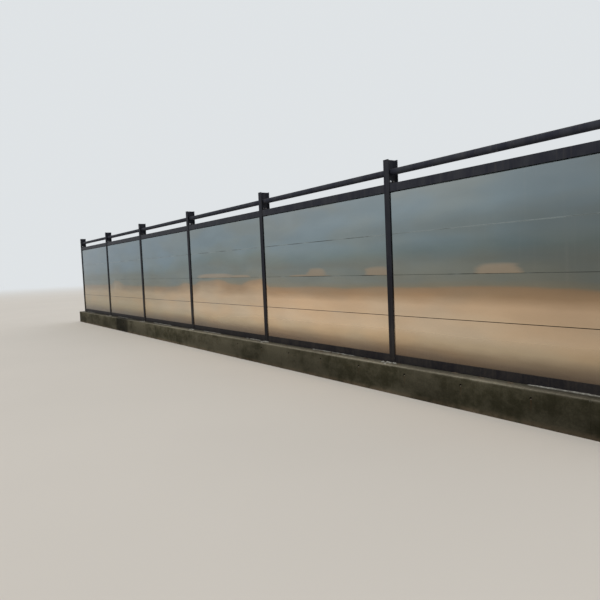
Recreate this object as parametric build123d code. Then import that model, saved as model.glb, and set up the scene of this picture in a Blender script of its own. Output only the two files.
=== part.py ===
from build123d import *
import os

os.makedirs("parts", exist_ok=True)

# Steel construction hoarding: six bays of boards in H-section posts on a cast plinth.
# X runs along the fence, the street side faces -Y, Z is up from the ground, all in millimetres.
# The origin is on the ground, under the middle of the plinth.

# Driving dimensions of the run
bay_count = 6
bay_pitch = 3000.0
plinth_height = 350.0
plinth_ledge = 145.0
plinth_end_overhang = 200.0

# Stacked boards with a tongue up and a groove down
boards_per_bay = 4
board_pitch = 500.0
board_thickness = 133.0
board_shoulder = 30.0
board_joint_gap = 0.4
board_end_gap = 2.0
tongue_height = 20.0
tongue_chamfer = 4.0
groove_play = 0.4
seam_bevel = 2.0
board_seating_depth = 12.0
head_gap = 12.0

# Folded channel rails with welded end plates, and bearer plates inside the bottom one
rail_height = 100.0
rail_wall = 3.0
rail_bend_radius = 6.0
board_side_play = 1.0
end_plate_thickness = 8.0
end_plate_land = 1.0
bearer_thickness = 6.0
bearer_count = 5

# Round pipe above the top rail
pipe_diameter = 80.0
pipe_wall = 3.0
pipe_clear_gap = 105.0

# Rolled H-section posts
flange_width = 88.0
flange_thickness = 8.0
web_thickness = 6.0
root_radius = 8.0
rail_to_flange_play = 1.5
plate_to_root_play = 0.5
post_rise_over_pipe = 110.0
foot_cover = 100.0
pocket_clearance = 0.3

# Bolt holes through end plates and post webs
bolt_hole_diameter = 18.0
bolt_edge_distance = 20.0
bolt_side_distance = 25.5
top_bolt_spacing = 50.0
top_bolt_over_rail = 30.0

# Cutters reach this far past the faces they cut
cut_overrun = 1.0

# Widths that follow from the board outwards: the rails hold it, and the posts hold the rails
tongue_width = board_thickness - 2 * board_shoulder
rail_inner_width = board_thickness + 2 * board_side_play
rail_width = rail_inner_width + 2 * rail_wall
section_depth = rail_width + 2 * (rail_to_flange_play + flange_thickness)
plinth_width = section_depth + 2 * plinth_ledge

# Lengths that follow from the bay pitch
clear_between_webs = bay_pitch - web_thickness
channel_length = clear_between_webs - 2 * end_plate_thickness
board_length = channel_length - 2 * board_end_gap
plinth_length = bay_count * bay_pitch + 2 * plinth_end_overhang

# Heights that follow from the plinth upwards
post_foot = foot_cover
bottom_rail_base = plinth_height
board_stack_base = bottom_rail_base + rail_height - board_seating_depth
board_stack_top = board_stack_base + boards_per_bay * board_pitch
top_rail_base = board_stack_top + head_gap
top_rail_top = top_rail_base + rail_height
pipe_axis_height = top_rail_top + pipe_clear_gap + pipe_diameter / 2
post_top = pipe_axis_height + pipe_diameter / 2 + post_rise_over_pipe
top_plate_height = rail_height + top_bolt_over_rail + bolt_edge_distance


def post_x(number):
    return (number - 1 - bay_count / 2) * bay_pitch


def bay_x(number):
    return (number - 0.5 - bay_count / 2) * bay_pitch


# H section in plan, its web along Y and its flanges facing the two sides of the fence
def h_section():
    outline = Rectangle(flange_width, section_depth)
    channel_width = section_depth - 2 * flange_thickness
    channel_depth = (flange_width - web_thickness) / 2 + cut_overrun
    for side in (-1, 1):
        middle = side * (web_thickness + channel_depth) / 2
        channel = Pos(middle, 0) * Rectangle(channel_depth, channel_width)
        root_corners = channel.vertices().sort_by(lambda corner: abs(corner.X))[:2]
        outline -= fillet(root_corners, root_radius)
    return outline


# The pocket that takes an H section: the same outline a clearance larger, with splayed root corners
def pocket_section():
    grown = 2 * pocket_clearance
    outline = Rectangle(flange_width + grown, section_depth + grown)
    tooth_width = section_depth - 2 * flange_thickness - grown
    tooth_depth = (flange_width - web_thickness) / 2 + cut_overrun
    for side in (-1, 1):
        middle = side * (web_thickness / 2 + pocket_clearance + tooth_depth / 2)
        tooth = Pos(middle, 0) * Rectangle(tooth_depth, tooth_width)
        root_corners = tooth.vertices().sort_by(lambda corner: abs(corner.X))[:2]
        outline -= chamfer(root_corners, root_radius)
    return outline


# Holes along X for the four corner bolts of a bottom rail, centred on one plate or web
def bottom_holes(length):
    cutter = Rot(0, 90, 0) * Cylinder(bolt_hole_diameter / 2, length)
    reach_across = rail_width / 2 - bolt_side_distance
    reach_up = rail_height / 2 - bolt_edge_distance
    middle = bottom_rail_base + rail_height / 2
    places = [(across * reach_across, middle + up * reach_up) for across in (-1, 1) for up in (-1, 1)]
    return [Pos(0, y, z) * cutter for y, z in places]


# Holes along X for the two bolts above a top rail, centred on one plate or web
def top_holes(length):
    cutter = Rot(0, 90, 0) * Cylinder(bolt_hole_diameter / 2, length)
    height = top_rail_top + top_bolt_over_rail
    return [Pos(0, across * top_bolt_spacing / 2, height) * cutter for across in (-1, 1)]


# Only the end posts are drilled right through to the open: an inner web's holes are filled by its bolts
def make_post(drilled):
    post = Pos(0, 0, post_foot) * extrude(h_section(), amount=post_top - post_foot)
    if drilled:
        length = web_thickness + 2 * cut_overrun
        post -= bottom_holes(length) + top_holes(length)
    return post


# Cast plinth with one pocket for each post foot
def make_plinth():
    body = Pos(0, 0, plinth_height / 2) * Box(plinth_length, plinth_width, plinth_height)
    depth = plinth_height - post_foot + cut_overrun
    pocket = Pos(0, 0, post_foot) * extrude(pocket_section(), amount=depth)
    return body - [Pos(post_x(number), 0, 0) * pocket for number in range(1, bay_count + 2)]


# Folded channel along X, its back at height zero and its legs pointing up
def folded_channel():
    outside = Pos(0, rail_height / 2) * Rectangle(rail_width, rail_height)
    outside = fillet(outside.vertices().sort_by(Axis.Y)[:2], rail_bend_radius)
    hollow_height = rail_height - rail_wall + cut_overrun
    hollow = Pos(0, rail_wall + hollow_height / 2) * Rectangle(rail_inner_width, hollow_height)
    hollow = fillet(hollow.vertices().sort_by(Axis.Y)[:2], rail_bend_radius - rail_wall)
    section = Plane.YZ * (outside - hollow)
    return Pos(-channel_length / 2, 0, 0) * extrude(section, amount=channel_length)


# One end plate in plan, its seat at x = 0: the seat's two edges are bevelled to pass the post's root radii
def plate_outline():
    half_width = rail_width / 2
    bevel_across = root_radius - rail_to_flange_play + plate_to_root_play
    bevel_depth = end_plate_thickness - end_plate_land
    seat_corner = (0, bevel_across - half_width)
    one_side = [seat_corner, (bevel_depth, -half_width), (end_plate_thickness, -half_width)]
    other_side = [(x, -y) for x, y in reversed(one_side)]
    return Polygon(one_side + other_side, align=None)


# The two plates that close a rail, each seated on a post web, drilled where the bolts stay in reach
def end_plates(base, height, holes, drilled_sides):
    plates = []
    for side in (-1, 1):
        plate = Pos(0, 0, base) * extrude(plate_outline(), amount=height)
        plate = plate if side < 0 else Rot(0, 0, 180) * plate
        if side in drilled_sides:
            plate -= holes(2 * (end_plate_thickness + cut_overrun))
        plates.append(Pos(side * clear_between_webs / 2, 0, 0) * plate)
    return plates


# Upright plates inside the bottom rail, cropped to clear its bends, on which the lowest board stands
def bearers():
    height = rail_height - rail_wall - board_seating_depth
    outline = Pos(0, rail_wall + height / 2) * Rectangle(rail_inner_width, height)
    outline = chamfer(outline.vertices().sort_by(Axis.Y)[:2], rail_bend_radius - rail_wall)
    bearer = Pos(-bearer_thickness / 2, 0, 0) * extrude(Plane.YZ * outline, amount=bearer_thickness)
    step = channel_length / bearer_count
    return [Pos((number - (bearer_count - 1) / 2) * step, 0, 0) * bearer for number in range(bearer_count)]


def make_bottom_rail(drilled_sides):
    channel = Pos(0, 0, bottom_rail_base) * (folded_channel() + bearers())
    return channel + end_plates(bottom_rail_base, rail_height, bottom_holes, drilled_sides)


def make_top_rail(drilled_sides):
    channel = Pos(0, 0, top_rail_top) * Rot(180, 0, 0) * folded_channel()
    return channel + end_plates(top_rail_base, top_plate_height, top_holes, drilled_sides)


# One board: bevelled faces, a tongue along its top and a groove along its foot
def make_board():
    height = board_pitch - board_joint_gap
    body = Pos(0, height / 2) * Rectangle(board_thickness, height)
    body = chamfer(body.vertices(), seam_bevel)
    tongue = Pos(0, height + tongue_height / 2) * Rectangle(tongue_width, tongue_height)
    tongue = chamfer(tongue.vertices().sort_by(Axis.Y)[-2:], tongue_chamfer)
    groove_depth = tongue_height + groove_play
    groove = Pos(0, groove_depth / 2) * Rectangle(tongue_width + 2 * groove_play, groove_depth)
    groove = chamfer(groove.vertices().sort_by(Axis.Y)[-2:], tongue_chamfer)
    section = Plane.YZ * (body + tongue - groove)
    return Pos(-board_length / 2, 0, 0) * extrude(section, amount=board_length)


def make_board_stack():
    board = make_board()
    courses = range(boards_per_bay)
    return [Pos(0, 0, board_stack_base + course * board_pitch) * board for course in courses]


def make_pipe_rail():
    ring = Circle(pipe_diameter / 2) - Circle(pipe_diameter / 2 - pipe_wall)
    pipe = extrude(Plane.YZ * ring, amount=clear_between_webs)
    return Pos(-clear_between_webs / 2, 0, pipe_axis_height) * pipe


def write_node(name, solids, x=0.0):
    moved = [Pos(x, 0, 0) * solid for solid in solids]
    shape = moved[0] if len(moved) == 1 else Compound(children=moved)
    export_step(shape, f"parts/{name}.step")


# The end of the run that a bay or a post stands at: the sides on which its bolts stay in reach
def outer_sides(number, count):
    return [side for side, last in ((-1, 1), (1, count)) if number == last]


write_node("plinth", [make_plinth()])

post_count = bay_count + 1
for number in range(1, post_count + 1):
    drilled = bool(outer_sides(number, post_count))
    write_node(f"post_{number}", [make_post(drilled)], post_x(number))

board_stack = make_board_stack()
pipe_rail = make_pipe_rail()
for number in range(1, bay_count + 1):
    sides = outer_sides(number, bay_count)
    write_node(f"bottom_rail_{number}", [make_bottom_rail(sides)], bay_x(number))
    write_node(f"board_panel_{number}", board_stack, bay_x(number))
    write_node(f"top_rail_{number}", [make_top_rail(sides)], bay_x(number))
    write_node(f"pipe_rail_{number}", [pipe_rail], bay_x(number))
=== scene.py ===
import math
import random

import bmesh
import bpy
from mathutils import Matrix, Vector, noise


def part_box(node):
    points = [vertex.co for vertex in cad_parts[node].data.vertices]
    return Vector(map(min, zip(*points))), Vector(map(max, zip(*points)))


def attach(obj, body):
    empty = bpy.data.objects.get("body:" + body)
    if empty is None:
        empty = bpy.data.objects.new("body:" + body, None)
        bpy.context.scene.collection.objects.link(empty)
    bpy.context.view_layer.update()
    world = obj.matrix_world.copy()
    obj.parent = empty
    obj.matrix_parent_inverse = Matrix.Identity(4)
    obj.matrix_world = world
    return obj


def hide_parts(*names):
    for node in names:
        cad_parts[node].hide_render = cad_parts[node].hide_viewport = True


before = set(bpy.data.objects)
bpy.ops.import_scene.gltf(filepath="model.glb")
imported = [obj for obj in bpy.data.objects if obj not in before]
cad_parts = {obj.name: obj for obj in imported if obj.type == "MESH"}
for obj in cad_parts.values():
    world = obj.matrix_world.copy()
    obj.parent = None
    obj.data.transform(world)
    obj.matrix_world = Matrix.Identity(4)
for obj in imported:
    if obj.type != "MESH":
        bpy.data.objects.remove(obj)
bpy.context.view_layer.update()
print("frame loaded,", len(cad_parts), "nodes")

# Places read from the frame, in metres
plinthLow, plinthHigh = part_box("plinth")
postNames = sorted(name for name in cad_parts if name.startswith("post_"))
bayNumbers = range(1, len(postNames))
postPlaces = {name: (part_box(name)[0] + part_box(name)[1]) / 2 for name in postNames}
bayPitch = postPlaces["post_2"].x - postPlaces["post_1"].x
ledgeHeight = plinthHigh.z
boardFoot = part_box("board_panel_1")[0].z
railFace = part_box("bottom_rail_1")[1].y
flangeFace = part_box("post_1")[1].y


# Camera: one fit over the post lines, rails, pipe and plinth edge of the picture
cameraSet = {
    "place": (10.995, -4.903, 1.600),
    "turn": 145.242,
    "pitch": -3.519,
    "roll": -2.492,
    "focalPixels": 555.37,
    "pictureWidth": 600,
    "sensor": 36.0,
    "clipEnd": 500.0,
}


def placeCamera():
    data = bpy.data.cameras.new("viewCamera")
    camera = bpy.data.objects.new("viewCamera", data)
    bpy.context.collection.objects.link(camera)
    turn, pitch, roll = (math.radians(cameraSet[key]) for key in ("turn", "pitch", "roll"))
    forward = Vector((math.cos(pitch) * math.cos(turn), math.cos(pitch) * math.sin(turn), math.sin(pitch)))
    level = Vector((math.sin(turn), -math.cos(turn), 0.0))
    above = level.cross(forward)
    right = level * math.cos(roll) + above * math.sin(roll)
    up = above * math.cos(roll) - level * math.sin(roll)
    turned = Matrix((right, up, -forward)).transposed()
    camera.matrix_world = Matrix.Translation(cameraSet["place"]) @ turned.to_4x4()
    data.sensor_width = cameraSet["sensor"]
    data.lens = cameraSet["sensor"] * cameraSet["focalPixels"] / cameraSet["pictureWidth"]
    data.clip_end = cameraSet["clipEnd"]
    bpy.context.scene.camera = camera


placeCamera()
print("camera placed")


# Small helpers for node trees
def newMaterial(name):
    material = bpy.data.materials.new(name)
    material.use_nodes = True
    tree = material.node_tree
    place = tree.nodes.new("ShaderNodeTexCoord").outputs["Object"]
    return material, tree, tree.nodes["Principled BSDF"], place


# A socket takes a link or a plain value
def feed(node, key, value):
    if isinstance(value, bpy.types.NodeSocket):
        node.id_data.links.new(value, node.inputs[key])
    else:
        node.inputs[key].default_value = value


def put(tree, kind, sockets=None, **settings):
    node = tree.nodes.new(kind)
    for key, value in settings.items():
        setattr(node, key, value)
    for key, value in (sockets or {}).items():
        feed(node, key, value)
    return node


def calc(tree, operation, *values, clamp=False):
    sockets = dict(enumerate(values))
    return put(tree, "ShaderNodeMath", sockets, operation=operation, use_clamp=clamp).outputs[0]


def times(tree, value, *others):
    for other in others:
        value = calc(tree, "MULTIPLY", value, other)
    return value


def plus(tree, value, *others):
    for other in others:
        value = calc(tree, "ADD", value, other)
    return value


def minus(tree, value, other):
    return calc(tree, "SUBTRACT", value, other)


def spread(tree, value, low, high, toLow=0.0, toHigh=1.0):
    sockets = {"Value": value, "From Min": low, "From Max": high, "To Min": toLow, "To Max": toHigh}
    return put(tree, "ShaderNodeMapRange", sockets, interpolation_type="SMOOTHSTEP").outputs["Result"]


def splitPlace(tree, place):
    return put(tree, "ShaderNodeSeparateXYZ", {0: place}).outputs


def upwardPart(tree):
    return splitPlace(tree, put(tree, "ShaderNodeNewGeometry").outputs["Normal"])["Z"]


def cloud(tree, place, stretch, detail=3.0, roughness=0.5, shift=(0.0, 0.0, 0.0)):
    mapped = put(tree, "ShaderNodeMapping", {"Vector": place, "Scale": stretch, "Location": shift})
    sockets = {"Vector": mapped.outputs[0], "Scale": 1.0, "Detail": detail, "Roughness": roughness}
    return put(tree, "ShaderNodeTexNoise", sockets).outputs["Fac"]


def ramp(tree, value, stops):
    node = put(tree, "ShaderNodeValToRGB", {"Fac": value})
    elements = node.color_ramp.elements
    while len(elements) < len(stops):
        elements.new(0.5)
    for element, (position, colour) in zip(elements, stops):
        element.position = position
        element.color = (*colour, 1.0)
    return node.outputs["Color"]


# A ramp whose places are metres along the run
def rampAlong(tree, along, stops):
    first, last = stops[0][0], stops[-1][0]
    share = calc(tree, "DIVIDE", minus(tree, along, first), last - first)
    return ramp(tree, share, [((x - first) / (last - first), colour) for x, colour in stops])


# A mix of two colours: its sockets go by number, as several of them share a name
def blend(tree, factor, first, second, way="MIX"):
    first, second = (value if isinstance(value, bpy.types.NodeSocket) else (*value, 1.0)
                     for value in (first, second))
    sockets = {0: factor, 6: first, 7: second}
    return put(tree, "ShaderNodeMix", sockets, data_type="RGBA", blend_type=way).outputs[2]


def grey(tree, value):
    return put(tree, "ShaderNodeCombineColor", {"Red": value, "Green": value, "Blue": value}).outputs[0]


def redPart(tree, colour):
    return put(tree, "ShaderNodeSeparateColor", {0: colour}).outputs["Red"]


def tinted(tree, colour, factor):
    return blend(tree, 1.0, colour, grey(tree, factor), "MULTIPLY")


def bump(tree, height, distance, normal=None):
    sockets = {"Height": height, "Distance": distance, "Strength": 1.0}
    if normal is not None:
        sockets["Normal"] = normal
    return put(tree, "ShaderNodeBump", sockets).outputs["Normal"]


# Worn edges: where the normal, rounded over a radius, turns away from the face's own
def wearEdges(tree, radius):
    rounded = put(tree, "ShaderNodeBevel", {"Radius": radius}, samples=4).outputs[0]
    plain = put(tree, "ShaderNodeNewGeometry").outputs["Normal"]
    between = put(tree, "ShaderNodeVectorMath", {0: rounded, 1: plain}, operation="DOT_PRODUCT")
    return spread(tree, between.outputs["Value"], 0.995, 0.93)


# Roughness: a base, more of it under dust, and a slow drift
def feedRoughness(tree, shader, finish, dusty, drifting):
    rough = plus(tree, times(tree, dusty, finish["dustRoughness"]), finish["roughness"])
    drift = spread(tree, drifting, 0.3, 0.7, *finish["roughnessDrift"])
    feed(shader, "Roughness", calc(tree, "ADD", rough, drift, clamp=True))


# Painted frame steel: charcoal powder coat with dust, splash and a few chips
paintSet = {
    "coat": (0.0085, 0.0088, 0.0118),
    "coatWorn": (0.0150, 0.0152, 0.0172),
    # Each part: how many times the coat's colours, its sheen, and the seed that shifts its clouds; the one
    # coat is made lighter or darker per part as painted light and shade
    "parts": {
        "post": {"shade": 1.90, "sheen": 0.03, "seed": 1},
        "rail": {"shade": 2.20, "sheen": 0.05, "seed": 2},
        "sill": {"shade": 2.25, "sheen": 0.03, "seed": 2},
        "pipe": {"shade": 2.70, "sheen": 0.008, "seed": 3},
    },
    "seedShift": (3.1, 1.7, 0.9),
    "lowTint": (1.09, 0.98, 0.84),
    "highTint": (0.965, 1.00, 1.04),
    "tintHeights": (1.15, 1.55),
    "darkLowShade": 0.78,
    "darkLowOverLedge": (0.10, 0.35),
    "lighterTop": 1.22,
    "lighterHeights": (2.3, 2.6),
    "dust": (0.17, 0.145, 0.11),
    "dustOnTop": 0.22,
    "runs": 0.07,
    "splash": (0.13, 0.10, 0.065),
    "splashFrom": 0.75,
    "splashStrength": 0.09,
    "edgeReach": 0.0022,
    "chip": (0.09, 0.085, 0.08),
    "rust": (0.08, 0.03, 0.012),
    "rustStrength": 0.7,
    "roughness": 0.42,
    "roughnessDrift": (-0.05, 0.07),
    "dustRoughness": 0.4,
    "rolledDepth": 0.0012,
    "peelDepth": 0.00012,
}


# The coat: clouded, warmer low down, with thin runs of dust, darker just over the ledge and lighter at the
# top
def coatColour(tree, shade, place, height, mottle, shift):
    coat, worn = ([share * shade for share in paintSet[key]] for key in ("coat", "coatWorn"))
    colour = blend(tree, spread(tree, mottle, 0.35, 0.7), coat, worn)
    rising = spread(tree, height, *paintSet["tintHeights"])
    hue = blend(tree, rising, paintSet["lowTint"], paintSet["highTint"])
    colour = blend(tree, 1.0, colour, hue, "MULTIPLY")
    runs = spread(tree, cloud(tree, place, (38.0, 38.0, 1.3), 3.0, 0.55, shift), 0.52, 0.72)
    colour = blend(tree, times(tree, runs, paintSet["runs"]), colour, paintSet["dust"])
    darkLowHeights = [ledgeHeight + over for over in paintSet["darkLowOverLedge"]]
    colour = tinted(tree, colour, spread(tree, height, *darkLowHeights, paintSet["darkLowShade"], 1.0))
    return tinted(tree, colour, spread(tree, height, *paintSet["lighterHeights"], 1.0, paintSet["lighterTop"]))


# Where splash clings low down, and where dust settles on upward faces
def dirtMasks(tree, place, height, shift):
    grit = cloud(tree, place, (22.0, 22.0, 22.0), 6.0, 0.7, shift)
    low = spread(tree, height, paintSet["splashFrom"], ledgeHeight)
    splash = times(tree, low, low, spread(tree, grit, 0.38, 0.68), paintSet["splashStrength"])
    flat = spread(tree, upwardPart(tree), 0.35, 0.95)
    settled = times(tree, flat, spread(tree, grit, 0.25, 0.7), paintSet["dustOnTop"])
    return splash, settled


def chipsAndRust(tree, colour, place, shift):
    patchy = spread(tree, cloud(tree, place, (60.0, 60.0, 30.0), 4.0, 0.6, shift), 0.5, 0.62)
    chips = times(tree, wearEdges(tree, paintSet["edgeReach"]), patchy)
    colour = blend(tree, chips, colour, paintSet["chip"])
    specks = spread(tree, cloud(tree, place, (95.0, 95.0, 70.0), 3.0, 0.5, shift), 0.735, 0.77)
    return blend(tree, times(tree, specks, paintSet["rustStrength"]), colour, paintSet["rust"])


def makePaint(part):
    material, tree, shader, place = newMaterial(f"{part}Paint")
    finish = paintSet["parts"][part]
    height = splitPlace(tree, place)["Z"]
    shift = [finish["seed"] * reach for reach in paintSet["seedShift"]]
    mottle = cloud(tree, place, (5.0, 5.0, 2.0), 5.0, 0.6, shift)
    splash, settled = dirtMasks(tree, place, height, shift)
    colour = coatColour(tree, finish["shade"], place, height, mottle, shift)
    colour = blend(tree, splash, colour, paintSet["splash"])
    colour = blend(tree, settled, colour, paintSet["dust"])
    feed(shader, "Base Color", chipsAndRust(tree, colour, place, shift))

    feedRoughness(tree, shader, paintSet, calc(tree, "MAXIMUM", settled, splash), mottle)
    feed(shader, "Specular IOR Level", finish["sheen"])
    peel = cloud(tree, place, (420.0, 420.0, 420.0), 2.0, 0.5)
    rolled = cloud(tree, place, (3.0, 3.0, 1.1), 2.0, 0.4, shift)
    normal = bump(tree, rolled, paintSet["rolledDepth"])
    feed(shader, "Normal", bump(tree, peel, paintSet["peelDepth"], normal))
    return material


# Bright boards: smooth rolled steel under a film of site dust that thickens downwards; their colour also
# holds a painted reflection, grey-blue sky high up and tan ground low down
boardSet = {
    "boardHeight": 0.5,
    # Colour by height: painted reflection of the sky high up and of the ground low down, with the dust's
    # tint
    "reflectionAndDustLine": [
        (0.440, (0.13, 0.095, 0.065)),
        (0.490, (0.19, 0.138, 0.095)),
        (0.560, (0.31, 0.23, 0.15)),
        (0.650, (0.53, 0.41, 0.27)),
        (0.780, (0.67, 0.525, 0.37)),
        (1.080, (0.64, 0.485, 0.34)),
        (1.145, (0.50, 0.37, 0.25)),
        (1.195, (0.41, 0.293, 0.19)),
        (1.262, (0.335, 0.247, 0.168)),
        (1.290, (0.238, 0.230, 0.188)),
        (1.350, (0.205, 0.22, 0.20)),
        (1.580, (0.171, 0.19, 0.178)),
        (1.700, (0.172, 0.208, 0.205)),
        (1.830, (0.195, 0.237, 0.247)),
        (2.050, (0.200, 0.242, 0.258)),
        (2.460, (0.232, 0.265, 0.275)),
    ],
    "rampTop": 2.6,
    "wander": 0.045,
    "ripple": 0.03,
    # How far the painted reflection of the ground, with its dust, rises, by place along the run
    "riseAlong": [
        (-9.0, 0.0), (-5.75, 0.0), (-5.4, 0.13), (-5.0, 0.11), (-4.5, -0.01), (-1.5, -0.055), (-0.9, -0.04),
        (-0.4, 0.05), (-0.05, 0.05), (0.1, 0.01), (0.5, 0.11), (1.3, 0.13), (1.7, 0.06), (2.2, 0.03),
        (2.5, 0.11), (2.9, 0.14), (3.15, 0.0), (4.5, 0.0), (7.3, 0.03), (9.0, 0.0),
    ],
    "riseFrom": (0.60, 0.95),
    "riseFull": (1.08, 1.34),
    "riseShare": 0.3,
    # Shade of the painted reflection and dust, by place along the run
    "toneAlong": [
        (-9.0, (0.60, 0.70, 0.75)), (-4.5, (0.65, 0.76, 0.81)), (-1.5, (0.88, 0.95, 0.98)),
        (1.6, (1.08, 1.08, 1.05)), (3.8, (1.26, 1.22, 1.18)), (5.4, (1.24, 1.21, 1.17)),
        (6.6, (1.12, 1.10, 1.07)), (7.5, (1.00, 0.99, 0.96)), (8.4, (0.80, 0.79, 0.77)),
        (9.0, (0.74, 0.73, 0.71)),
    ],
    "toneHeights": (1.10, 1.45),
    "toneBelow": 0.72,
    # Low in the far bays the painted reflection and dust are earthier; high in the near bays they are
    # clearer, over a painted dark band of reflected hill
    "farLow": (0.88, 0.81, 0.66),
    "farReach": (0.5, -4.2),
    "farHeights": (1.68, 1.52),
    "clearReach": (3.5, 7.5),
    "clearHeights": (1.5, 1.7),
    "clearEdge": (1.95, 2.2),
    "clearShades": (-0.09, 0.15),
    "castShades": (0.985, 1.015),
    "patchShades": (0.95, 1.05),
    "warm": (1.035, 0.995, 0.955),
    "cool": (0.975, 1.005, 1.04),
    "runs": 0.04,
    "runColour": (0.55, 0.50, 0.43),
    # Painted reflections of soil heaps on the middle seam: middle along the run, half length and height
    "heaps": [(1.10, 0.90, 0.09), (2.15, 0.45, 0.05), (4.45, 0.25, 0.13),
              (4.25, 0.55, 0.03), (5.80, 0.28, 0.12), (7.53, 0.31, 0.115)],
    "heapColour": (0.36, 0.283, 0.205),
    "heapFoot": 1.438,
    "heapStrength": 0.80,
    "heapWobble": 0.4,
    "heapPower": 3.0,
    "heapEdge": (1.15, 0.2),
    "heapBlur": 0.004,
    "seamHalf": 0.0036,
    "seamBlur": 0.1,
    "seamDark": (0.016, 0.013, 0.010),
    "seamHighlight": (0.405, 0.445, 0.435),
    "seamNumbers": (1.1, 3.5),
    "highlightReach": (5.6, 6.9),
    "highlightShare": (-0.40, 0.55),
    "middleNumber": 2.0,  # seams count up from the boards' foot
    "middleSeam": (0.10, 0.85),
    "roughness": 0.15,
    "roughnessDrift": (-0.02, 0.03),
    "dustRoughness": 0.09,
    "dustyHeights": (1.25, 0.55),
    "metal": 0.97,
    "dustMetal": 0.30,
    "panDepth": 0.0035,
    "grainDepth": 0.00001,
}


# Height on the scale of the painted reflection and dust, moved by slow drifts, small ripples and the rises
# along the run
def reflectionAndDustLevel(tree, place, along, height, fine):
    slow = cloud(tree, place, (0.42, 0.42, 2.2), 4.0, 0.5)
    wander = times(tree, minus(tree, slow, 0.5), boardSet["wander"] * 2.0)
    ripple = times(tree, minus(tree, fine, 0.5), boardSet["ripple"] * 2.0)
    lifted = rampAlong(tree, along, [(x, (rise + 0.5,) * 3) for x, rise in boardSet["riseAlong"]])
    upper = times(tree, spread(tree, height, *boardSet["riseFrom"]),
                  spread(tree, height, *boardSet["riseFull"], boardSet["riseShare"], 1.0))
    rise = times(tree, minus(tree, redPart(tree, lifted), 0.5), upper)
    level = minus(tree, plus(tree, height, wander, ripple), rise)
    return calc(tree, "DIVIDE", level, boardSet["rampTop"])


# The colour by height of the painted reflection and dust: shaded along the run, earthier low and far off,
# clearer high and near
def reflectionAndDustColour(tree, level, along, height):
    colour = ramp(tree, level, [(z / boardSet["rampTop"], shade) for z, shade in boardSet["reflectionAndDustLine"]])
    tone = rampAlong(tree, along, [(x, [part / 2 for part in shade]) for x, shade in boardSet["toneAlong"]])
    share = spread(tree, height, *boardSet["toneHeights"], boardSet["toneBelow"], 1.0)
    tone = blend(tree, share, (0.5, 0.5, 0.5), tone)
    tone = blend(tree, 1.0, tone, tone, "ADD")
    colour = blend(tree, 1.0, colour, tone, "MULTIPLY")
    far = times(tree, spread(tree, along, *boardSet["farReach"]),
                spread(tree, height, *boardSet["farHeights"]))
    colour = blend(tree, far, colour, boardSet["farLow"], "MULTIPLY")
    clear = times(tree, spread(tree, along, *boardSet["clearReach"]),
                  spread(tree, height, *boardSet["clearHeights"]))
    lift = times(tree, clear, spread(tree, height, *boardSet["clearEdge"], *boardSet["clearShades"]))
    return tinted(tree, colour, plus(tree, lift, 1.0))


# Each board a shade of its own, soft patches, and warmer and cooler clouds
def boardClouds(tree, colour, place, along, height):
    overFoot = minus(tree, height, boardFoot)
    course = calc(tree, "FLOOR", calc(tree, "DIVIDE", overFoot, boardSet["boardHeight"]))
    bay = calc(tree, "FLOOR", calc(tree, "DIVIDE", along, bayPitch))
    cell = put(tree, "ShaderNodeCombineXYZ", {"X": bay, "Y": course}).outputs[0]
    cast = put(tree, "ShaderNodeTexWhiteNoise", {"Vector": cell}, noise_dimensions="3D").outputs["Value"]
    colour = tinted(tree, colour, spread(tree, cast, 0.0, 1.0, *boardSet["castShades"]))
    patchy = cloud(tree, place, (1.1, 1.1, 3.6), 3.0, 0.5, (7.0, 0.0, 3.0))
    colour = tinted(tree, colour, spread(tree, patchy, 0.3, 0.7, *boardSet["patchShades"]))
    hue = spread(tree, cloud(tree, place, (0.8, 0.8, 2.4), 2.0, 0.45, (1.0, 0.0, 9.0)), 0.38, 0.62)
    hue = blend(tree, hue, boardSet["warm"], boardSet["cool"])
    return blend(tree, 1.0, colour, hue, "MULTIPLY")


# Painted reflections of soil heaps, low on the edge of a seam: flat below, round above
def paintedHeapReflections(tree, along, height, fine):
    mask = 0.0
    power, blur = boardSet["heapPower"], boardSet["heapBlur"]
    wobbled = plus(tree, along, times(tree, minus(tree, fine, 0.5), boardSet["heapWobble"]))
    above = minus(tree, height, boardSet["heapFoot"])
    for middle, reach, rise in boardSet["heaps"]:
        across = calc(tree, "DIVIDE", minus(tree, wobbled, middle), reach)
        up = calc(tree, "DIVIDE", above, rise)
        away = [calc(tree, "POWER", calc(tree, "ABSOLUTE", part), power) for part in (across, up)]
        mask = calc(tree, "MAXIMUM", mask, spread(tree, plus(tree, *away), *boardSet["heapEdge"]))
    return times(tree, mask, spread(tree, above, -blur, blur), boardSet["heapStrength"])


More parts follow.
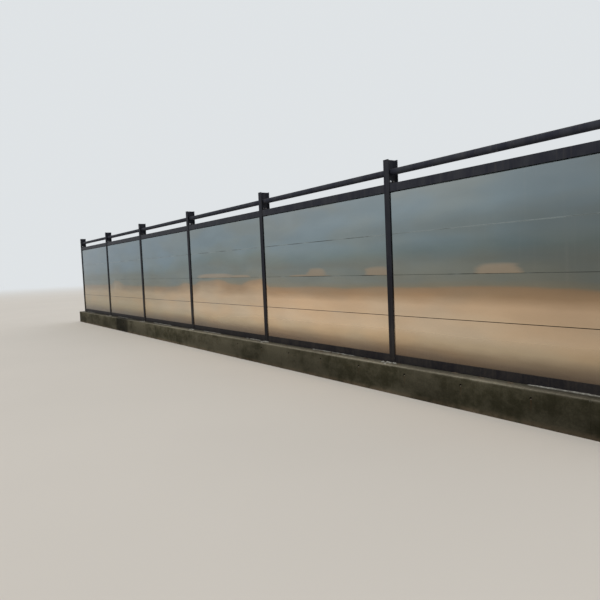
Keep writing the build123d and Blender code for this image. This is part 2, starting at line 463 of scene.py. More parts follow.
# Seams: a dark line low down, grime and painted shade in the groove; higher up, a painted highlight along
# the edge in stretches
def seamLines(tree, colour, place, along, height):
    step = boardSet["boardHeight"]
    raised = plus(tree, minus(tree, height, boardFoot), step / 2)
    offSeam = calc(tree, "ABSOLUTE", minus(tree, calc(tree, "FLOORED_MODULO", raised, step), step / 2))
    half, blur = boardSet["seamHalf"], boardSet["seamBlur"]
    line = spread(tree, offSeam, half * (1 + blur), half * (1 - blur))
    number = calc(tree, "FLOOR", calc(tree, "DIVIDE", raised, step))
    patchy = cloud(tree, place, (2.6, 2.6, 0.4), 3.0, 0.5, (5.5, 0.0, 0.0))
    stretches = spread(tree, patchy, 0.35, 0.65, -0.9, 0.9)
    overMiddle = minus(tree, number, boardSet["middleNumber"])
    highlighted = times(tree, spread(tree, along, *boardSet["highlightReach"], *boardSet["highlightShare"]), overMiddle)
    bright = spread(tree, plus(tree, number, stretches, highlighted), *boardSet["seamNumbers"])
    seam = blend(tree, bright, boardSet["seamDark"], boardSet["seamHighlight"])
    broken = cloud(tree, place, (2.4, 2.4, 0.4), 3.0, 0.55, (1.5, 0.0, 0.0))
    dashes = spread(tree, broken, 0.46, 0.58, *boardSet["middleSeam"])
    strength = spread(tree, calc(tree, "ABSOLUTE", overMiddle), 0.0, 1.0, dashes, 1.0)
    return blend(tree, times(tree, line, strength), colour, seam)


def makeBoardSteel():
    material, tree, shader, place = newMaterial("boardSteel")
    parts = splitPlace(tree, place)
    along, height = parts["X"], parts["Z"]
    fine = cloud(tree, place, (1.6, 1.6, 9.0), 5.0, 0.55)
    level = reflectionAndDustLevel(tree, place, along, height, fine)
    colour = reflectionAndDustColour(tree, level, along, height)
    colour = boardClouds(tree, colour, place, along, height)
    colour = blend(tree, paintedHeapReflections(tree, along, height, fine), colour, boardSet["heapColour"])
    runs = spread(tree, cloud(tree, place, (55.0, 55.0, 1.1), 4.0, 0.6), 0.56, 0.74)
    colour = blend(tree, times(tree, runs, boardSet["runs"]), colour, boardSet["runColour"])
    feed(shader, "Base Color", seamLines(tree, colour, place, along, height))

    dusty = spread(tree, level, *(z / boardSet["rampTop"] for z in boardSet["dustyHeights"]))
    feedRoughness(tree, shader, boardSet, dusty, fine)
    feed(shader, "Metallic", minus(tree, boardSet["metal"], times(tree, dusty, boardSet["dustMetal"])))
    pan = cloud(tree, place, (0.9, 0.9, 2.4), 2.0, 0.4, (2.0, 5.0, 1.0))
    grain = cloud(tree, place, (6.0, 6.0, 110.0), 2.0, 0.5)
    normal = bump(tree, pan, boardSet["panDepth"])
    feed(shader, "Normal", bump(tree, grain, boardSet["grainDepth"], normal))
    return material


# Form ties: where the forms were held, they left a cone in the face, painted dark as shade, and a stain
# under it
tieSet = {
    "step": 0.82,
    "start": 7.98,
    "height": 0.262,
    "radius": 0.011,
    "holeEdge": (1.5, 1.1),  # times the radius
    "depth": 0.016,
    "rows": [-0.012, -0.009, -0.005, 0.0, 0.005, 0.009, 0.012],
    "holeShade": (0.006, 0.005, 0.004),
    "stain": (0.06, 0.03, 0.014),
    "stainStrength": 0.35,
    "stainHalf": (0.012, 0.002),
    "stainDown": (-0.16, -0.01),
    "stainUp": (0.004, -0.006),
}

# Cast concrete: damp and brown on its faces, paler along the trowelled ledge
castSet = {
    "damp": (0.0305, 0.0276, 0.0155),
    "dry": (0.086, 0.077, 0.052),
    "pale": (0.178, 0.161, 0.120),
    "spots": 0.5,
    "grainShades": (0.88, 1.12),
    "darkFootTo": 0.12,
    "lightUnderLedge": 0.01,
    "footToLedgeShades": (0.84, 1.16),
    # Shade of the whole face, by place along the run
    "toneAlong": [
        (-9.2, 1.10), (-5.10, 1.10), (-4.92, 0.34), (-4.05, 0.34), (-3.90, 1.04), (-2.6, 1.10), (-2.1, 1.34),
        (-0.8, 1.40), (0.2, 1.12), (1.2, 1.06), (2.8, 0.84), (4.6, 0.82), (5.3, 1.04), (6.1, 1.02),
        (6.55, 0.72), (6.95, 0.80), (7.3, 1.02), (8.2, 0.72), (9.2, 0.66),
    ],
    # The pale ledge: a painted shadow by the rails and a painted highlight towards its front edge; darker in
    # a near stretch and far off
    "rearShade": 0.60,
    "rearOffRail": 0.02,
    "frontShade": 1.38,
    "frontOffEdge": 0.01,
    "nearDarkReach": (7.2, 8.3),
    "nearDarkShade": 0.74,
    "farReach": (-2.5, 1.4),
    "farShade": 0.55,
    "speckle": (0.78, 1.22),
    "ledgeShare": (0.45, 1.0),
    "rimUnderLedge": (0.016, 0.003),
    "rimStrength": 0.8,
    "bandUnderLedge": (0.030, 0.0),
    "bandShare": (0.05, 0.35),
    "drips": 0.07,
    "dripFoot": 0.05,
    "arrisWearAndHighlight": (0.30, 0.285, 0.235),
    "arrisShare": (0.15, 0.75),
    "arrisReach": 0.010,
    "arrisUnderLedge": (0.03, 0.01),
    "soil": (0.14, 0.10, 0.065),
    "soilStrength": 0.5,
    "soilTo": 0.07,
    # Pits in the face: painted dark as shade, and sunk in the relief
    "pitShade": (0.012, 0.011, 0.008),
    "pitStrength": 0.8,
    "pitScale": 46.0,
    "pitEdge": (0.16, 0.08),
    "roughness": (0.72, 0.92),
    "sheen": 0.04,
    "grainRelief": 0.5,
    "pitRelief": 1.2,
    "reliefDepth": 0.0022,
}


# The face: damp and dry tones at random, darker towards the foot and lighter up under the ledge
def faceColour(tree, height, broad, mottle, grain):
    colour = blend(tree, spread(tree, broad, 0.40, 0.62), castSet["damp"], castSet["dry"])
    spots = times(tree, spread(tree, mottle, 0.4, 0.7), castSet["spots"])
    colour = blend(tree, spots, colour, castSet["dry"])
    lightFrom = ledgeHeight - castSet["lightUnderLedge"]
    rising = spread(tree, height, castSet["darkFootTo"], lightFrom, *castSet["footToLedgeShades"])
    grainy = spread(tree, grain, 0.35, 0.65, *castSet["grainShades"])
    return tinted(tree, colour, times(tree, rising, grainy))


def paleColour(tree, place, along, across):
    rear, front = railFace + castSet["rearOffRail"], plinthHigh.y - castSet["frontOffEdge"]
    # Painted shadow by the rail, painted highlight towards the front edge
    lit = spread(tree, across, rear, front, castSet["rearShade"], castSet["frontShade"])
    nearDark = spread(tree, along, *castSet["nearDarkReach"], 1.0, castSet["nearDarkShade"])
    far = spread(tree, along, *castSet["farReach"], castSet["farShade"], 1.0)
    lit = times(tree, lit, times(tree, nearDark, far))
    speckle = cloud(tree, place, (30.0, 55.0, 30.0), 4.0, 0.65)
    speckle = spread(tree, speckle, 0.3, 0.7, *castSet["speckle"])
    return tinted(tree, tinted(tree, castSet["pale"], lit), speckle)


def underLedge(tree, height, key):
    return spread(tree, height, *(ledgeHeight - under for under in castSet[key]))


# Pale parts: the ledge and its rim, a pale band under it, drips down the face and the worn arris, painted
# lighter also as a highlight along it
def paleParts(tree, colour, place, height, pale, mottle, grain, upward):
    rim = times(tree, underLedge(tree, height, "rimUnderLedge"), castSet["rimStrength"])
    ledge = calc(tree, "MAXIMUM", spread(tree, upward, 0.25, 0.8), rim)
    ledge = times(tree, ledge, spread(tree, mottle, 0.28, 0.55, *castSet["ledgeShare"]))
    colour = blend(tree, ledge, colour, pale)
    band = underLedge(tree, height, "bandUnderLedge")
    band = times(tree, band, spread(tree, mottle, 0.3, 0.65, *castSet["bandShare"]))
    colour = blend(tree, band, colour, pale)
    drips = spread(tree, cloud(tree, place, (26.0, 26.0, 1.6), 4.0, 0.6), 0.52, 0.72)
    drips = times(tree, drips, spread(tree, height, castSet["dripFoot"], ledgeHeight), castSet["drips"])
    colour = blend(tree, drips, colour, pale)
    nearTop = underLedge(tree, height, "arrisUnderLedge")
    rubbed = spread(tree, grain, 0.42, 0.6, *castSet["arrisShare"])
    worn = times(tree, wearEdges(tree, castSet["arrisReach"]), nearTop, rubbed)
    return blend(tree, worn, colour, castSet["arrisWearAndHighlight"])


def tieMarks(tree, colour, along, height, upward):
    step, radius = tieSet["step"], tieSet["radius"]
    shifted = minus(tree, along, tieSet["start"] - step / 2)
    aside = minus(tree, calc(tree, "FLOORED_MODULO", shifted, step), step / 2)
    above = minus(tree, height, tieSet["height"])
    away = calc(tree, "SQRT", plus(tree, times(tree, aside, aside), times(tree, above, above)))
    holeShade = spread(tree, away, *(radius * edge for edge in tieSet["holeEdge"]))
    holeShade = times(tree, holeShade, spread(tree, upward, 0.5, 0.1))
    below = times(tree, spread(tree, above, *tieSet["stainDown"]), spread(tree, above, *tieSet["stainUp"]))
    stain = spread(tree, calc(tree, "ABSOLUTE", aside), *tieSet["stainHalf"])
    stain = times(tree, stain, below, tieSet["stainStrength"])
    colour = blend(tree, stain, colour, tieSet["stain"])
    # The cone painted dark: painted shade
    return blend(tree, holeShade, colour, tieSet["holeShade"])


def makeConcrete():
    material, tree, shader, place = newMaterial("castConcrete")
    parts = splitPlace(tree, place)
    along, height = parts["X"], parts["Z"]
    across = calc(tree, "ABSOLUTE", parts["Y"])
    upward = upwardPart(tree)
    broad = cloud(tree, place, (0.9, 0.9, 2.0), 5.0, 0.6)
    mottle = cloud(tree, place, (6.0, 6.0, 7.0), 7.0, 0.68)
    grain = cloud(tree, place, (70.0, 70.0, 70.0), 6.0, 0.7)
    colour = faceColour(tree, height, broad, mottle, grain)
    pale = paleColour(tree, place, along, across)
    colour = paleParts(tree, colour, place, height, pale, mottle, grain, upward)
    soil = times(tree, spread(tree, height, castSet["soilTo"], 0.0), spread(tree, mottle, 0.3, 0.6),
                 castSet["soilStrength"])
    colour = blend(tree, soil, colour, castSet["soil"])
    tone = rampAlong(tree, along, [(x, (shade,) * 3) for x, shade in castSet["toneAlong"]])
    colour = blend(tree, 1.0, colour, tone, "MULTIPLY")
    colour = tieMarks(tree, colour, along, height, upward)
    sockets = {"Vector": place, "Scale": castSet["pitScale"], "Randomness": 1.0}
    cells = put(tree, "ShaderNodeTexVoronoi", sockets, feature="F1").outputs["Distance"]
    pits = times(tree, spread(tree, cells, *castSet["pitEdge"]), spread(tree, mottle, 0.5, 0.6))
    colour = blend(tree, times(tree, pits, castSet["pitStrength"]), colour, castSet["pitShade"])
    feed(shader, "Base Color", colour)
    feed(shader, "Roughness", spread(tree, broad, 0.3, 0.7, *castSet["roughness"]))
    relief = minus(tree, times(tree, grain, castSet["grainRelief"]), times(tree, pits, castSet["pitRelief"]))
    feed(shader, "Normal", bump(tree, relief, castSet["reliefDepth"]))
    feed(shader, "Specular IOR Level", castSet["sheen"])
    return material


# Mortar and mud, and bright and dulled zinc: two tones each
mortarSet = {
    "roughness": (0.78, 0.95),
    "sheen": 0.04,
    "groutMortar": {"pale": (0.34, 0.33, 0.29), "dark": (0.15, 0.14, 0.12), "relief": 0.0012},
    "railMud": {"pale": (0.12, 0.095, 0.067), "dark": (0.055, 0.043, 0.031), "relief": 0.0016},
}
zincSet = {
    "roughness": (0.28, 0.48),
    "spangleDepth": 0.00015,
    "boltZinc": {"dark": (0.36, 0.37, 0.38), "pale": (0.70, 0.71, 0.72)},
    "boltDull": {"dark": (0.050, 0.048, 0.045), "pale": (0.12, 0.115, 0.11)},
}


def makeMortar(name):
    finish = mortarSet[name]
    material, tree, shader, place = newMaterial(name)
    blotch = cloud(tree, place, (18.0, 18.0, 18.0), 6.0, 0.65)
    grain = cloud(tree, place, (160.0, 160.0, 160.0), 4.0, 0.7)
    colour = blend(tree, spread(tree, blotch, 0.35, 0.68), finish["dark"], finish["pale"])
    feed(shader, "Base Color", colour)
    feed(shader, "Roughness", spread(tree, blotch, 0.3, 0.7, *mortarSet["roughness"]))
    feed(shader, "Normal", bump(tree, grain, finish["relief"]))
    feed(shader, "Specular IOR Level", mortarSet["sheen"])
    return material


def makeZinc(name):
    finish = zincSet[name]
    material, tree, shader, place = newMaterial(name)
    spangle = cloud(tree, place, (130.0, 130.0, 130.0), 4.0, 0.6)
    colour = blend(tree, spread(tree, spangle, 0.35, 0.7), finish["dark"], finish["pale"])
    feed(shader, "Base Color", colour)
    feed(shader, "Metallic", 1.0)
    feed(shader, "Roughness", spread(tree, spangle, 0.3, 0.7, *zincSet["roughness"]))
    feed(shader, "Normal", bump(tree, spangle, zincSet["spangleDepth"]))
    return material


materials = {part: makePaint(part) for part in paintSet["parts"]}
materials |= {
    "board": makeBoardSteel(),
    "concrete": makeConcrete(),
    "mortar": makeMortar("groutMortar"),
    "mud": makeMortar("railMud"),
    "zinc": makeZinc("boltZinc"),
    "dullZinc": makeZinc("boltDull"),
}
nodeMaterials = {"post": "post", "bottom": "sill", "top": "rail", "pipe": "pipe", "board": "board",
                 "plinth": "concrete"}  # by the first word of the node's name
for name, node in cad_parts.items():
    node.data.materials.clear()
    node.data.materials.append(materials[nodeMaterials[name.split("_")[0]]])
print("materials made:", ", ".join(sorted(materials)))


# Meshes are gathered in bmesh and handed over with their material, body and slot
def addPiece(name, shape, material, smoothAngle=35.0):
    bmesh.ops.recalc_face_normals(shape, faces=shape.faces)
    for face in shape.faces:
        face.smooth = True
    mesh = bpy.data.meshes.new(name)
    shape.to_mesh(mesh)
    shape.free()
    mesh.set_sharp_from_angle(angle=math.radians(smoothAngle))
    mesh.materials.append(materials[material])
    piece = bpy.data.objects.new(name, mesh)
    bpy.context.collection.objects.link(piece)
    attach(piece, "root")
    return piece


# Faces between rings of points, with a lid at both ends unless the last ring meets the first
def skinRings(shape, rings, closed=False):
    count = len(rings[0])
    for near, far in zip(rings, rings[1:] + (rings[:1] if closed else [])):
        for step in range(count):
            following = (step + 1) % count
            shape.faces.new((near[step], near[following], far[following], far[step]))
    if not closed:
        shape.faces.new(rings[0])
        shape.faces.new(list(reversed(rings[-1])))


# A turned or hexagonal form along X: rings of one radius each, closed at both ends
def addTurned(shape, centre, toward, profile, sides, phase=0.0):
    x, y, z = centre
    angles = [phase + 2 * math.pi * step / sides for step in range(sides)]
    rings = []
    for along, radius in profile:
        rings.append([shape.verts.new((x + toward * along, y + radius * math.cos(angle),
                                       z + radius * math.sin(angle))) for angle in angles])
    skinRings(shape, rings)


# Zinc bolts through end plates and webs: head on one side, nut and thread end on the other
boltSet = {
    "acrossFlats": 0.024,
    "headHeight": 0.010,
    "nutHeight": 0.013,
    "headSides": 6,
    "threadRadius": 0.0079,
    "threadDepth": 0.0007,
    "threadPitch": 0.002,
    "threadOut": 0.009,
    "threadTip": 0.9,
    "threadSides": 20,
    "washerRadius": 0.015,
    "washerThick": 0.003,
    "washerSides": 32,
    # Profiles: shares of the height and of the radius
    "washerProfile": [(0.0, 0.97), (0.2, 1.0), (0.8, 1.0), (1.0, 0.97)],
    "headProfile": [(0.0, 1.0), (0.82, 1.0), (1.0, 0.87)],
    "nutProfile": [(0.0, 0.9), (0.14, 1.0), (0.86, 1.0), (1.0, 0.88)],
    "plateThick": 0.008,
    "halfWeb": 0.003,
    "topSpacing": 0.050,
    "topOverRail": 0.030,
    "plateOverBolt": 0.020,
    "footAcross": 0.090,
    "footUp": 0.060,
    "dullFront": 0.15,
    "dullBack": 0.80,
    "seed": 40,
}


def boltPart(key, high, radius):
    return [(high * up, radius * out) for up, out in boltSet[f"{key}Profile"]]


def addBolt(shape, place, headSide, headSeat, nutSeat, chance):
    corner = boltSet["acrossFlats"] / math.sqrt(3.0)
    thick, sides = boltSet["washerThick"], boltSet["headSides"]
    washer = boltPart("washer", thick, boltSet["washerRadius"])
    x, y, z = place
    for side, seat in ((headSide, headSeat), (-headSide, nutSeat)):
        addTurned(shape, (x + side * seat, y, z), side, washer, boltSet["washerSides"])
    head = boltPart("head", boltSet["headHeight"], corner)
    start = headSeat + thick
    addTurned(shape, (x + headSide * start, y, z), headSide, head, sides, chance.uniform(0, math.pi))
    high = boltSet["nutHeight"]
    nut = boltPart("nut", high, corner)
    start = nutSeat + thick
    addTurned(shape, (x - headSide * start, y, z), -headSide, nut, sides, chance.uniform(0, math.pi))
    thread, along = [], 0.0
    outer, inner = boltSet["threadRadius"], boltSet["threadRadius"] - boltSet["threadDepth"]
    while along < boltSet["threadOut"]:
        thread += [(along, outer), (along + boltSet["threadPitch"] / 2, inner)]
        along += boltSet["threadPitch"]
    thread.append((along, inner * boltSet["threadTip"]))
    addTurned(shape, (x - headSide * (start + high), y, z), -headSide, thread, boltSet["threadSides"])


def makeBolts():
    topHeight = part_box("top_rail_1")[1].z - boltSet["plateOverBolt"]
    footLow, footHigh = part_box("bottom_rail_1")
    footMiddle = (footLow.z + footHigh.z) / 2
    lastPost = len(postNames)
    plated = boltSet["halfWeb"] + boltSet["plateThick"]
    for number in range(1, lastPost + 1):
        chance = random.Random(boltSet["seed"] + number)
        middle = postPlaces[f"post_{number}"]
        leftSeat = boltSet["halfWeb"] if number == 1 else plated
        rightSeat = boltSet["halfWeb"] if number == lastPost else plated
        shape = bmesh.new()
        places = [(side * boltSet["topSpacing"] / 2, topHeight) for side in (-1, 1)]
        if number in (1, lastPost):
            across, up = boltSet["footAcross"] / 2, boltSet["footUp"] / 2
            places += [(side * across, footMiddle + rise * up) for side in (-1, 1) for rise in (-1, 1)]
        for y, z in places:
            before = len(shape.faces)
            addBolt(shape, (middle.x, y, z), 1, rightSeat, leftSeat, chance)
            shape.faces.ensure_lookup_table()
            dull = chance.random() < (boltSet["dullFront"] if y < 0 else boltSet["dullBack"])
            for face in shape.faces[before:]:
                face.material_index = int(dull)
        bolts = addPiece(f"webBolts_{number}", shape, "zinc")
        bolts.data.materials.append(materials["dullZinc"])


makeBolts()
print("bolts made")


# Weld beads: a rippled ring where each pipe meets a web, a straight run where each top plate rises
weldSet = {
    "bead": 0.0042,
    "drift": 0.16,
    "driftWaves": 9.0,
    "ripple": 0.0007,
    "standOff": 0.0008,
    "offWeb": 0.001,
    "endInset": 0.006,
    "endSize": 0.45,
    "endRise": 8.0,
    "smoothAngle": 60.0,
    "ringSteps": 132,
    "ringRipples": 44,
    "aroundSteps": 8,
    "straightSteps": 60,
    "straightRipples": 22,
}
alongAxis, acrossAxis, upAxis = Matrix.Identity(3)


# A round bead: each stop holds a point, the two directions that span its section, and its radius
def addBead(shape, stops, closed=False):
    turns = [2 * math.pi * step / weldSet["aroundSteps"] for step in range(weldSet["aroundSteps"])]
    rings = []
    for point, first, second, radius in stops:
        rings.append([shape.verts.new(point + radius * (first * math.cos(turn) + second * math.sin(turn)))
                      for turn in turns])
    skinRings(shape, rings, closed)


def beadRadius(share, ripples, seed):
    wave = abs(math.sin(math.pi * ripples * share))
    drift = noise.noise(Vector((share * weldSet["driftWaves"], seed * 2.3, 0.0)))
    return weldSet["bead"] * (1 + weldSet["drift"] * drift) + weldSet["ripple"] * wave


def makePipeWelds():
    for number in bayNumbers:
        low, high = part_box(f"pipe_rail_{number}")
        middle, radius = (low + high) / 2, (high.y - low.y) / 2
        shape = bmesh.new()
        for x, inward, seed in ((low.x, 1, number), (high.x, -1, number + 20)):
            centre = Vector((x + inward * weldSet["offWeb"], middle.y, middle.z))
            stops = []
            for step in range(weldSet["ringSteps"]):
                share = step / weldSet["ringSteps"]
                angle = 2 * math.pi * share
                spoke = Vector((0.0, math.cos(angle), math.sin(angle)))
                point = centre + spoke * (radius + weldSet["standOff"])
                stops.append((point, spoke, alongAxis, beadRadius(share, weldSet["ringRipples"], seed)))
            addBead(shape, stops, closed=True)
        addPiece(f"pipeWelds_{number}", shape, "pipe", weldSet["smoothAngle"])


def makePlateWelds():
    inset, standOff = weldSet["endInset"], weldSet["standOff"]
    for number in bayNumbers:
        low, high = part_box(f"top_rail_{number}")
        railTop = high.z - boltSet["topOverRail"] - boltSet["plateOverBolt"]
        shape = bmesh.new()
        for x, inward in ((low.x + boltSet["plateThick"], 1), (high.x - boltSet["plateThick"], -1)):
            stops = []
            for step in range(weldSet["straightSteps"] + 1):
                share = step / weldSet["straightSteps"]
                y = low.y + inset + share * (high.y - low.y - 2 * inset)
                point = Vector((x + inward * standOff, y, railTop + standOff))
                ends = min(1.0, weldSet["endSize"] + weldSet["endRise"] * min(share, 1 - share))
                radius = beadRadius(share, weldSet["straightRipples"], number + inward * 7) * ends
                stops.append((point, alongAxis, upAxis, radius))
            addBead(shape, stops)
        addPiece(f"plateWelds_{number}", shape, "rail", weldSet["smoothAngle"])


makePipeWelds()
makePlateWelds()
print("weld beads made")


# The cast plinth with its real arrises: chipped edges, form panels that don't quite line up, a trowelled top
plinthSet = {
    "stationStep": 0.03,
    "faceRows": [0.0, 0.035, 0.07, 0.105, 0.14, 0.175, 0.21, 0.235, 0.285, 0.305],
    "ledgeSteps": 16,
    "arrisSteps": 4,
    "arris": 0.0045,
    "arrisSpread": 0.004,
    "arrisLeast": 0.003,
    "chipFrom": 0.30,
    "chipDepth": 0.024,
    "formPanel": 1.22,
    "formStep": 0.0022,
    "jointDepth": 0.0035,
    "jointHalf": 0.004,
    "jointRows": [-0.007, -0.0035, 0.0, 0.0035, 0.007],
    "jointClear": 0.012,
    "tieClear": 0.016,
    "faceWave": 0.004,
    "faceGrain": 0.0012,
    "trueTo": 0.02,
    "ledgeDip": 0.006,
    "flatByRail": 0.004,
    "dipReach": 0.04,
    "smoothAngle": 40.0,
}


def wobble(x, y, z):
    return noise.noise(Vector((x, y, z)))


def swell(x, y, z):
    return 0.5 + 0.5 * wobble(x, y, z)


def arrisSize(x, side):
    slow = wobble(x * 1.9, side * 5.0, 0.3)
    chips = max(0.0, wobble(x * 5.3, side * 9.0, 4.1) - plinthSet["chipFrom"]) / (1 - plinthSet["chipFrom"])
    size = plinthSet["arris"] + plinthSet["arrisSpread"] * slow + plinthSet["chipDepth"] * chips
    return max(plinthSet["arrisLeast"], size)


# Depth of the cone that each form tie has left in the face
def tieInset(x, z):
    step = tieSet["step"]
    along = (x - tieSet["start"] + step / 2) % step - step / 2
    away = math.hypot(along, z - tieSet["height"]) / tieSet["radius"]
    return tieSet["depth"] * max(0.0, 1 - away * away)


# How far the face lies inside the block, down to nothing at the foot
def formInset(x, z, side):
    panels = x / plinthSet["formPanel"]
    toJoint = abs(panels - round(panels)) * plinthSet["formPanel"]
    step = plinthSet["formStep"] * swell(math.floor(panels) * 7.7, side * 3.0, 1.5)
    wave = plinthSet["faceWave"] * swell(x * 0.9, z * 2.0, side * 4.0)
    rough = plinthSet["faceGrain"] * swell(x * 11.0, z * 14.0, side * 2.0)
    joint = plinthSet["jointDepth"] if toJoint < plinthSet["jointHalf"] else 0.0
    return (step + wave + rough + joint + tieInset(x, z)) * min(1.0, z / plinthSet["trueTo"])


# One half of the section: up the face from its foot, then round the arris
def faceSection(x, side):
    edge = plinthLow.y if side < 0 else plinthHigh.y
    size = arrisSize(x, side)
    rows = sorted(plinthSet["faceRows"] + [tieSet["height"] + row for row in tieSet["rows"]])
    section = [(edge - side * formInset(x, z, side), z) for z in rows + [ledgeHeight - size]]
    bendFrom = section[-1][0]
    for step in range(1, plinthSet["arrisSteps"] + 1):
        angle = math.pi / 2 * step / plinthSet["arrisSteps"]
        inward, up = size * (1 - math.cos(angle)), size * math.sin(angle)
        section.append((bendFrom - side * inward, ledgeHeight - size + up))
    return section


def plinthSection(x):
    front, back = faceSection(x, -1), faceSection(x, 1)
    startY, endY = front[-1][0], back[-1][0]
    ledge = []
    for step in range(1, plinthSet["ledgeSteps"]):
        y = startY + (endY - startY) * step / plinthSet["ledgeSteps"]
        free = min(1.0, max(0.0, (abs(y) - railFace - plinthSet["flatByRail"]) / plinthSet["dipReach"]))
        ledge.append((y, ledgeHeight - plinthSet["ledgeDip"] * swell(x * 3.1, y * 6.0, 2.2) * free))
    return front + ledge + list(reversed(back))


def crowdStations(stations, middle, rows, clear):
    kept = [x for x in stations if abs(x - middle) > clear or x in (plinthLow.x, plinthHigh.x)]
    return kept + [middle + row for row in rows]


# Places of the sections: even steps, with closer rows of their own at each tie and each form joint
def plinthStations():
    low, high = plinthLow.x, plinthHigh.x
    count = round((high - low) / plinthSet["stationStep"])
    stations = [low + (high - low) * step / count for step in range(count + 1)]
    middle = tieSet["start"] - tieSet["step"] * math.floor((tieSet["start"] - low) / tieSet["step"])
    while middle < high:
        stations = crowdStations(stations, middle, tieSet["rows"], plinthSet["tieClear"])
        middle += tieSet["step"]
    panel = plinthSet["formPanel"]
    for number in range(math.ceil(low / panel), math.floor(high / panel) + 1):
        stations = crowdStations(stations, number * panel, plinthSet["jointRows"], plinthSet["jointClear"])
    return sorted(x for x in stations if low <= x <= high)


def makePlinthSkin():
    shape = bmesh.new()
    skinRings(shape, [[shape.verts.new((x, y, z)) for y, z in plinthSection(x)] for x in plinthStations()])
    skin = addPiece("castPlinth", shape, "concrete", plinthSet["smoothAngle"])
    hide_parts("plinth")


makePlinthSkin()
print("plinth cast")


# Lumps of mortar and mud: flattened balls, roughened by noise, sunk a little into what they lie on
lumpSet = {
    "detail": 3,
    "sink": 0.35,
    "broad": 0.34,
    "fine": 0.12,
    "seeds": (0, 50),
    "smoothAngle": 80.0,
}
# Lumps round each post: some close to the flanges, some loose
groutSet = {
    "seed": 70,
    "collar": 11,
    "collarReach": 0.075,
    "collarOut": (0.004, 0.030),
    "loose": 4,
    "looseReach": 0.15,
    "looseFrom": 0.02,
    "looseTo": 0.185,
    "wide": (0.014, 0.034),
    "deep": (0.010, 0.022),
    "high": (0.008, 0.018),
}
# Stretches of bedding mortar: start and end along the run, and size
beddingSet = {
    "stretches": [(-8.7, -7.8, 0.007), (-5.3, -4.0, 0.006), (-2.4, -1.2, 0.007), (0.5, 1.3, 0.006),
                  (2.3, 2.8, 0.007), (4.3, 5.3, 0.006), (7.85, 8.93, 0.010)],
    "step": 0.012,
    "offRail": (0.5, 0.3),  # times the size: its middle, and how far it drifts
    "endSize": 0.2,
    "endRise": 14.0,
    "drift": 0.45,
    "crumble": 0.3,
}
mudSet = {
    "seed": 110,
    "perBay": 7,
    "fromEnds": 0.08,
    "offRail": (0.006, 0.05),
    "wide": (0.02, 0.06),
    "deep": (0.012, 0.025),
    "high": (0.006, 0.016),
}


def addLump(shape, place, size, chance):
    seed = chance.uniform(*lumpSet["seeds"])
    made = bmesh.ops.create_icosphere(shape, subdivisions=lumpSet["detail"], radius=1.0)
    for vert in made["verts"]:
        x, y, z = vert.co.normalized()
        rough = 1 + lumpSet["broad"] * wobble(x * 1.7 + seed, y * 1.7, z * 1.7)
        rough += lumpSet["fine"] * wobble(x * 6.0, y * 6.0 + seed, z * 6.0)
        vert.co = [middle + part * reach * rough for middle, part, reach in zip(place, (x, y, z), size)]


# Grout round each post's foot: a collar close to the flanges and a few loose lumps on the ledge
def makeGrout():
    close = (groutSet["collarReach"], *(flangeFace + out for out in groutSet["collarOut"]))
    loose = (groutSet["looseReach"], flangeFace + groutSet["looseFrom"], groutSet["looseTo"])
    for number, name in enumerate(postNames, 1):
        chance = random.Random(groutSet["seed"] + number)
        middle = postPlaces[name]
        shape = bmesh.new()
        for face in (-1, 1):
            for reach, outFrom, outTo in [close] * groutSet["collar"] + [loose] * groutSet["loose"]:
                along = chance.uniform(-reach, reach)
                outward = chance.uniform(outFrom, outTo)
                wide, deep, high = (chance.uniform(*groutSet[key]) for key in ("wide", "deep", "high"))
                place = (middle.x + along, face * outward, ledgeHeight - high * lumpSet["sink"])
                addLump(shape, place, (wide, deep, high), chance)
        addPiece(f"postGrout_{number}", shape, "mortar", lumpSet["smoothAngle"])


# Bedding mortar squeezed out along the foot of the bottom rails, in uneven stretches
def makeBedding():
    shape = bmesh.new()
    middle, aside = beddingSet["offRail"]
    for number, (start, end, size) in enumerate(beddingSet["stretches"]):
        count = round((end - start) / beddingSet["step"])
        for face in (-1, 1):
            stops = []
            for step in range(count + 1):
                x = start + (end - start) * step / count
                drift = wobble(x * 6.0, face * 3.0, number * 1.7)
                point = Vector((x, face * (railFace + size * (middle + aside * drift)), ledgeHeight))
                toEnd = min(step, count - step)
                ends = min(1.0, beddingSet["endSize"] + beddingSet["endRise"] * toEnd / count)
                crumbs = beddingSet["crumble"] * wobble(x * 27.0, face * 5.0, 0.7)
                radius = size * ends * (1 + beddingSet["drift"] * drift + crumbs)
                stops.append((point, acrossAxis, upAxis, radius))
            addBead(shape, stops)
    addPiece("railBedding", shape, "mortar", lumpSet["smoothAngle"])


# Mud dropped on the ledge along each bay, about twice as much of it in front as behind
def makeMud():
    for number in bayNumbers:
        chance = random.Random(mudSet["seed"] + number)
        low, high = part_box(f"bottom_rail_{number}")
        shape = bmesh.new()
        for _ in range(mudSet["perBay"]):
            face = chance.choice((-1, -1, 1))
            x = chance.uniform(low.x + mudSet["fromEnds"], high.x - mudSet["fromEnds"])
            wide, tall = chance.uniform(*mudSet["wide"]), chance.uniform(*mudSet["high"])
            outward = high.y + chance.uniform(*mudSet["offRail"])
            deep = chance.uniform(*mudSet["deep"])
            place = (x, face * outward, ledgeHeight - tall * lumpSet["sink"])
            addLump(shape, place, (wide, deep, tall), chance)
        addPiece(f"ledgeMud_{number}", shape, "mud", lumpSet["smoothAngle"])


makeGrout()
makeBedding()
makeMud()
print("mortar and mud laid")


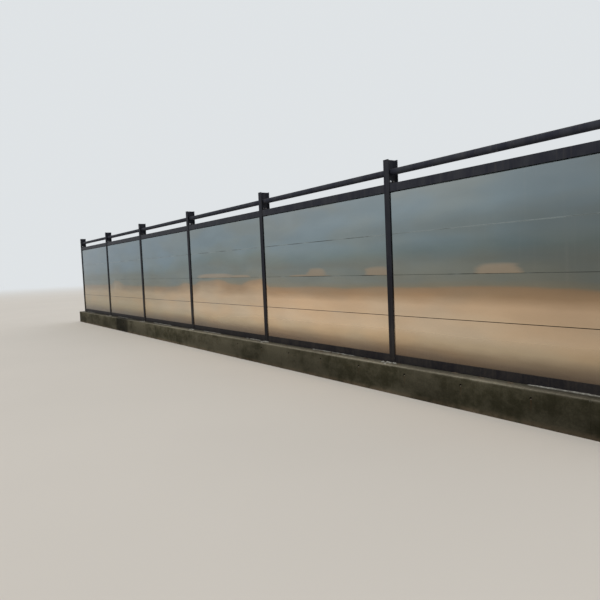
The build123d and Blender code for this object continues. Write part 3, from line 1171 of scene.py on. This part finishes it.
# Studio: a plain pale floor that fades into a pale surround, soft light from all round and one broad lamp
studioSet = {
    "floorColour": (0.66, 0.61, 0.54),
    "floorShades": (0.985, 1.015),
    "floorRoughness": 0.9,
    "floorSheen": 0.2,
    "floorReach": 160.0,
    "surround": (0.74, 0.77, 0.79),
    "fadeReach": (26.0, 90.0),
    "fill": (0.80, 0.82, 0.85),
    "fillStrength": 0.80,
    "lampStrength": 1.1,
    "lampAngle": 26.0,
    "lampFrom": (0.35, -0.62, 0.80),
}


def makeFloor():
    material, tree, shader, place = newMaterial("paleFloor")
    soft = spread(tree, cloud(tree, place, (0.25, 0.25, 0.25)), 0.3, 0.7, *studioSet["floorShades"])
    feed(shader, "Base Color", tinted(tree, studioSet["floorColour"], soft))
    feed(shader, "Roughness", studioSet["floorRoughness"])
    feed(shader, "Specular IOR Level", studioSet["floorSheen"])
    away = put(tree, "ShaderNodeVectorMath", {0: place}, operation="LENGTH").outputs["Value"]
    fade = spread(tree, away, *studioSet["fadeReach"])
    glow = put(tree, "ShaderNodeEmission", {"Color": (*studioSet["surround"], 1.0)})
    mixed = put(tree, "ShaderNodeMixShader", {0: fade, 1: shader.outputs[0], 2: glow.outputs[0]})
    feed(tree.nodes["Material Output"], "Surface", mixed.outputs[0])
    reach = studioSet["floorReach"]
    mesh = bpy.data.meshes.new("paleFloor")
    mesh.from_pydata([(-reach, -reach, 0), (reach, -reach, 0), (reach, reach, 0), (-reach, reach, 0)], [],
                     [(0, 1, 2, 3)])
    mesh.materials.append(material)
    floor = bpy.data.objects.new("paleFloor", mesh)
    bpy.context.collection.objects.link(floor)


def makeLight():
    world = bpy.data.worlds.new("softStudio")
    bpy.context.scene.world = world
    world.use_nodes = True
    tree = world.node_tree
    tree.nodes.clear()
    rays = put(tree, "ShaderNodeLightPath")
    seen = calc(tree, "MAXIMUM", rays.outputs["Is Camera Ray"], rays.outputs["Is Glossy Ray"])
    seen = calc(tree, "MAXIMUM", seen, rays.outputs["Is Transmission Ray"])
    fill = put(tree, "ShaderNodeBackground", {
        "Color": (*studioSet["fill"], 1.0), "Strength": studioSet["fillStrength"]})
    back = put(tree, "ShaderNodeBackground", {"Color": (*studioSet["surround"], 1.0), "Strength": 1.0})
    mixed = put(tree, "ShaderNodeMixShader", {0: seen, 1: fill.outputs[0], 2: back.outputs[0]})
    put(tree, "ShaderNodeOutputWorld", {"Surface": mixed.outputs[0]})
    data = bpy.data.lights.new("broadLamp", "SUN")
    data.energy = studioSet["lampStrength"]
    data.angle = math.radians(studioSet["lampAngle"])
    lamp = bpy.data.objects.new("broadLamp", data)
    bpy.context.collection.objects.link(lamp)
    lamp.rotation_euler = Vector(studioSet["lampFrom"]).to_track_quat("Z", "Y").to_euler()
    bpy.context.scene.view_settings.view_transform = "Standard"


makeFloor()
makeLight()
print("studio lit")
